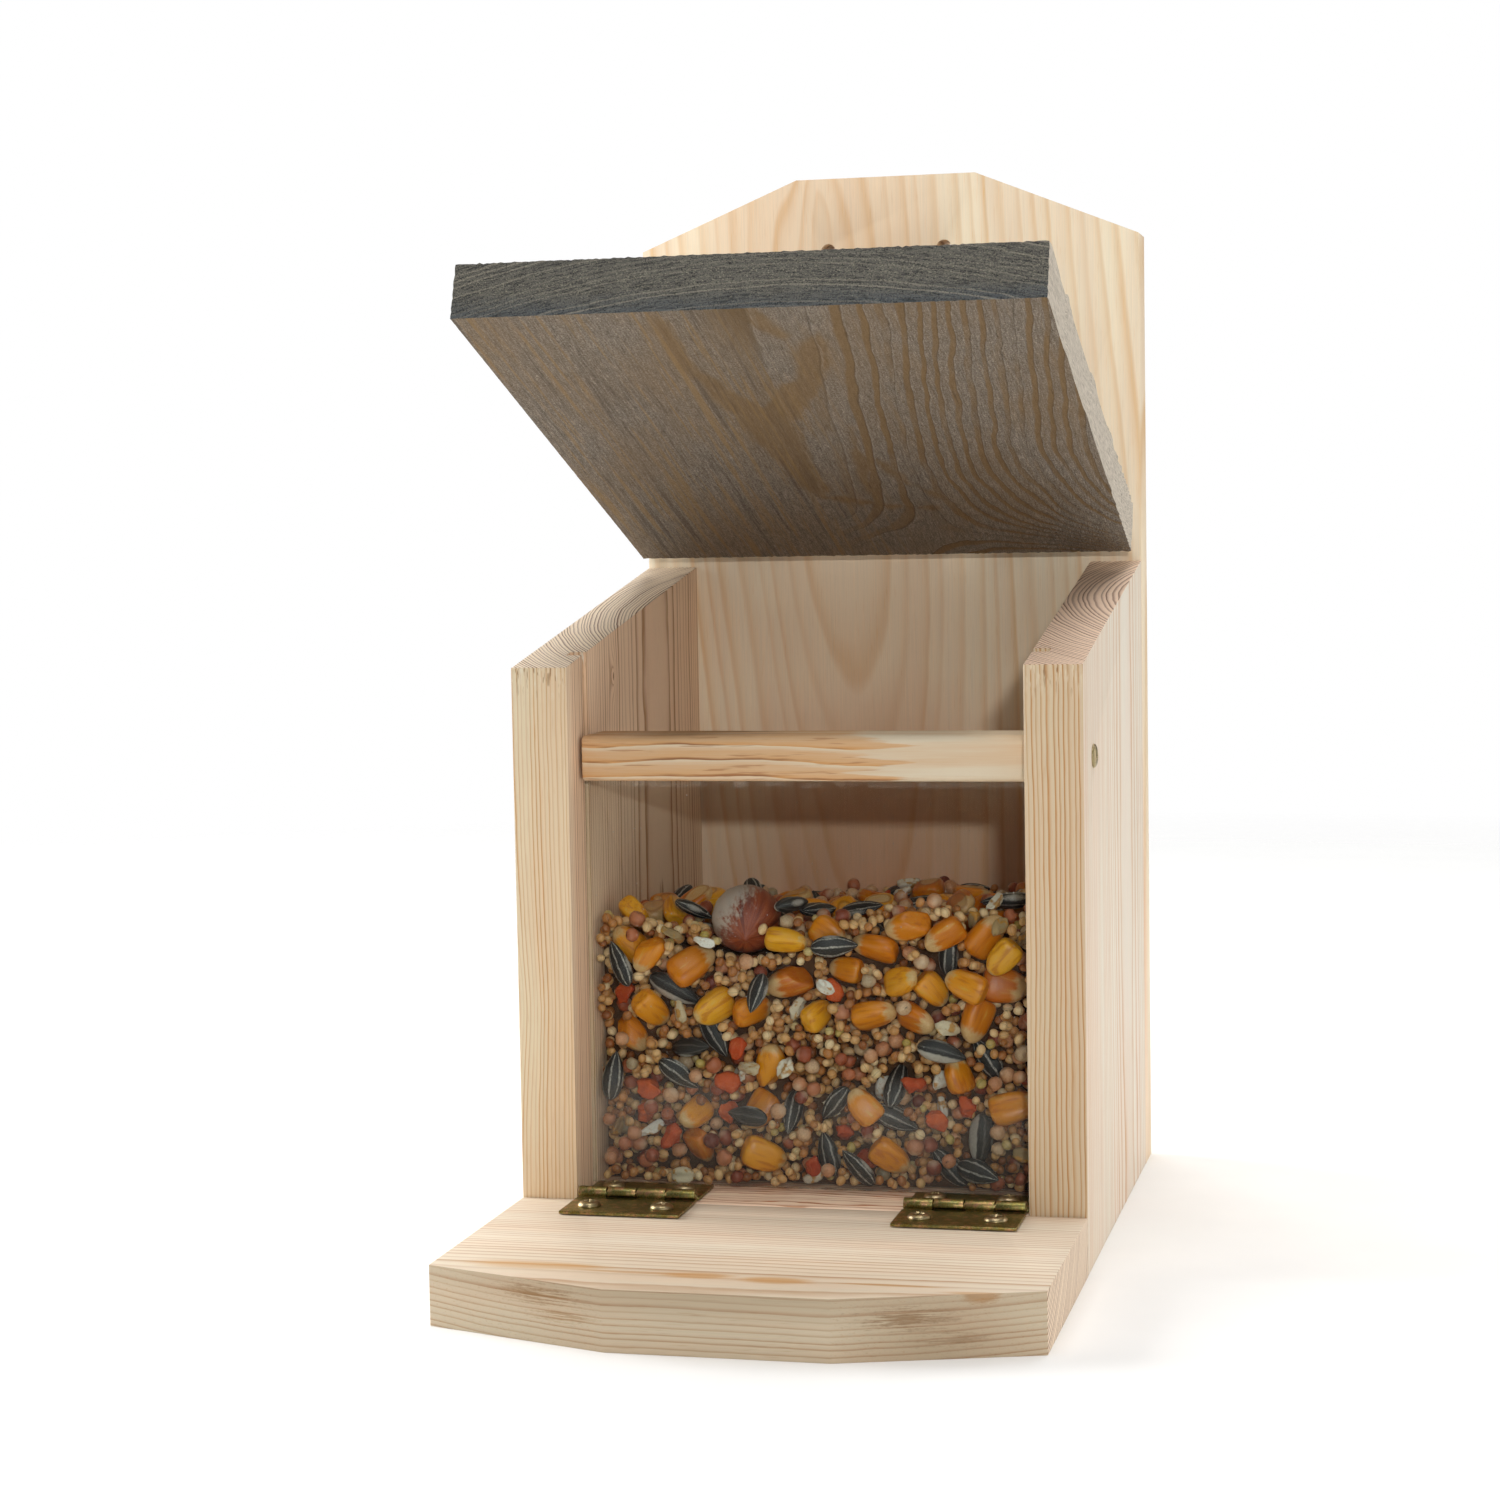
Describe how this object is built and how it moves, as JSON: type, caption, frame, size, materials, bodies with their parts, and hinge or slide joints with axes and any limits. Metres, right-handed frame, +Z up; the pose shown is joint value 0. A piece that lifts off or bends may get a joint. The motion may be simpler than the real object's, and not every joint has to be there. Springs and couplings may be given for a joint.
{
  "type": "squirrel feeder box",
  "caption": "Pine squirrel feeder box: hopper with a clear front window, hinged grey lid and a sitting platform that folds up.",
  "frame": {"origin": "middle of the whole object in X and Y, on the ground under it", "axes": "+Z up, +Y towards the back panel, +X to the right seen from the front"},
  "size_m": [0.1522, 0.2416, 0.2945],
  "materials": {
    "pine_back": "planed natural pine, unfinished, pale with pink and amber bands",
    "pine_side": "planed natural pine, unfinished, close upright growth lines",
    "pine_floor": "planed natural pine with amber latewood",
    "pine_platform": "planed natural pine, unfinished, streaky face and front edge",
    "pine_crossbar": "planed pine batten with rounded edges and amber streaks",
    "pine_grey": "rough-sawn pine, dark grey stain, worn brown underneath",
    "zinc_yellow": "yellow zinc-plated steel with a rainbow sheen",
    "clear_sheet": "clear plastic sheet with a little dust",
    "feed": "mixed grain: millet, sorghum, maize, striped sunflower seed",
    "nut_shell": "smooth brown nut shell with a pale base"
  },
  "bodies": {
    "box": {"back_panel": "pine_back", "back_screw_floor_left": "zinc_yellow", "back_screw_floor_right": "zinc_yellow", "back_screw_left_lower": "zinc_yellow", "back_screw_left_upper": "zinc_yellow", "back_screw_right_lower": "zinc_yellow", "back_screw_right_upper": "zinc_yellow", "crossbar": "pine_crossbar", "crossbar_screw_left": "zinc_yellow", "crossbar_screw_right": "zinc_yellow", "feed_mix": "feed", "floor_board": "pine_floor", "front_window": "clear_sheet", "hazelnut": "nut_shell", "lid_hinge_left_back_leaf": "zinc_yellow", "lid_hinge_left_back_leaf_screw_1": "zinc_yellow", "lid_hinge_left_back_leaf_screw_2": "zinc_yellow", "lid_hinge_left_pin": "zinc_yellow", "lid_hinge_right_back_leaf": "zinc_yellow", "lid_hinge_right_back_leaf_screw_1": "zinc_yellow", "lid_hinge_right_back_leaf_screw_2": "zinc_yellow", "lid_hinge_right_pin": "zinc_yellow", "platform_hinge_left_floor_leaf": "zinc_yellow", "platform_hinge_left_floor_leaf_screw_1": "zinc_yellow", "platform_hinge_left_floor_leaf_screw_2": "zinc_yellow", "platform_hinge_left_pin": "zinc_yellow", "platform_hinge_right_floor_leaf": "zinc_yellow", "platform_hinge_right_floor_leaf_screw_1": "zinc_yellow", "platform_hinge_right_floor_leaf_screw_2": "zinc_yellow", "platform_hinge_right_pin": "zinc_yellow", "side_panel_left": "pine_side", "side_panel_right": "pine_side"},
    "lid": {"lid_board": "pine_grey", "lid_hinge_left_lid_leaf": "zinc_yellow", "lid_hinge_left_lid_leaf_screw_1": "zinc_yellow", "lid_hinge_left_lid_leaf_screw_2": "zinc_yellow", "lid_hinge_right_lid_leaf": "zinc_yellow", "lid_hinge_right_lid_leaf_screw_1": "zinc_yellow", "lid_hinge_right_lid_leaf_screw_2": "zinc_yellow"},
    "platform": {"platform_board": "pine_platform", "platform_hinge_left_platform_leaf": "zinc_yellow", "platform_hinge_left_platform_leaf_screw_1": "zinc_yellow", "platform_hinge_left_platform_leaf_screw_2": "zinc_yellow", "platform_hinge_right_platform_leaf": "zinc_yellow", "platform_hinge_right_platform_leaf_screw_1": "zinc_yellow", "platform_hinge_right_platform_leaf_screw_2": "zinc_yellow"}
  },
  "joints": [
    {"name": "lid_swing", "type": "hinge", "parent": "box", "child": "lid", "pos_m": [0, 0.10375, 0.19671], "axis": [-1, 0, 0], "range_deg": [-29.5, 60.4]},
    {"name": "platform_fold", "type": "hinge", "parent": "box", "child": "platform", "pos_m": [0, -0.03125, 0.017], "axis": [-1, 0, 0], "range_deg": [0, 90]}
  ]
}
